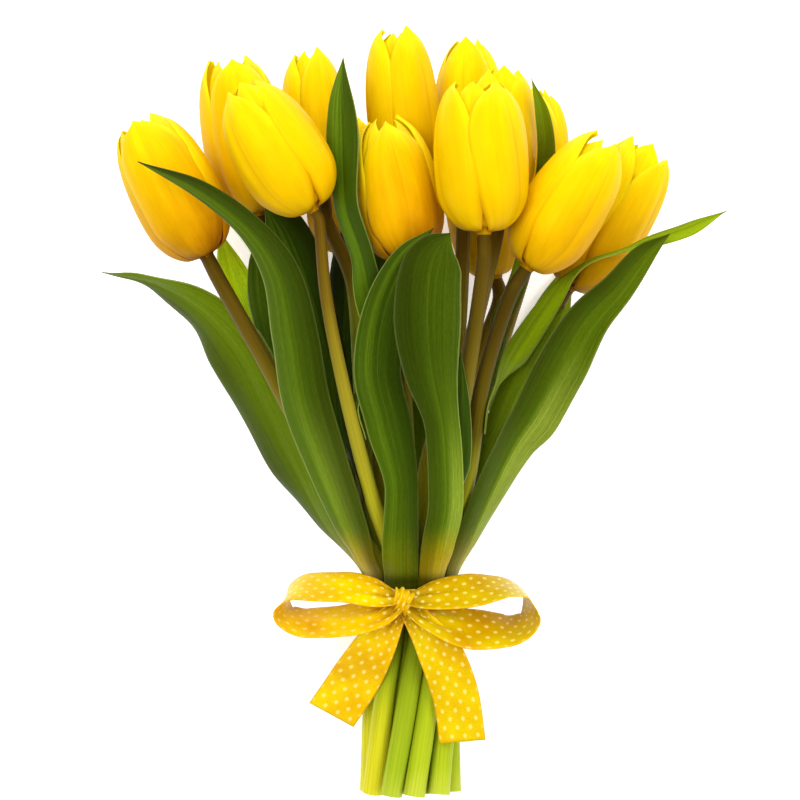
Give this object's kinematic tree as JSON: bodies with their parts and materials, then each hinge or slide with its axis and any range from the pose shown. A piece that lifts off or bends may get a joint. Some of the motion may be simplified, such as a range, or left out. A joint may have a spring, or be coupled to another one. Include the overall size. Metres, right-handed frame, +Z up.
{
  "type": "bunch of tulips",
  "caption": "Cut bunch of cupped yellow tulips with long arching leaves, tied round the stems with a polka-dot satin ribbon in a bow, lying on its back.",
  "frame": {"origin": "on the surface the bunch lies on, under the middle of its outline", "axes": "+Y from the cut ends to the blooms, +Z up from the surface, towards the side with the bow; +X to the right as seen from above with the blooms up"},
  "size_m": [0.2612, 0.3268, 0.1223],
  "materials": {
    "petal": "matte",
    "stem": "satin",
    "leaf": "satin",
    "ribbon": "satin"
  },
  "bodies": {
    "root": {"bloom_01": "petal", "bloom_02": "petal", "bloom_03": "petal", "bloom_04": "petal", "bloom_05": "petal", "bloom_06": "petal", "bloom_07": "petal", "bloom_08": "petal", "bloom_09": "petal", "bloom_10": "petal", "bloom_11": "petal", "bloom_12": "petal", "bloom_13": "petal", "bloom_14": "petal", "bloom_15": "petal", "leaf_back_left": "leaf", "leaf_back_middle": "leaf", "leaf_behind_front": "leaf", "leaf_centre_back": "leaf", "leaf_centre_dark": "leaf", "leaf_front": "leaf", "leaf_left": "leaf", "leaf_left_behind": "leaf", "leaf_left_dark": "leaf", "leaf_left_front": "leaf", "leaf_left_inner": "leaf", "leaf_middle": "leaf", "leaf_right": "leaf", "leaf_right_arching": "leaf", "leaf_right_back": "leaf", "leaf_right_inner": "leaf", "leaf_top_right": "leaf", "leaf_upright": "leaf", "ribbon": "ribbon", "stem_01": "stem", "stem_02": "stem", "stem_03": "stem", "stem_04": "stem", "stem_05": "stem", "stem_06": "stem", "stem_07": "stem", "stem_08": "stem", "stem_09": "stem", "stem_10": "stem", "stem_11": "stem", "stem_12": "stem", "stem_13": "stem", "stem_14": "stem", "stem_15": "stem"}
  },
  "joints": []
}
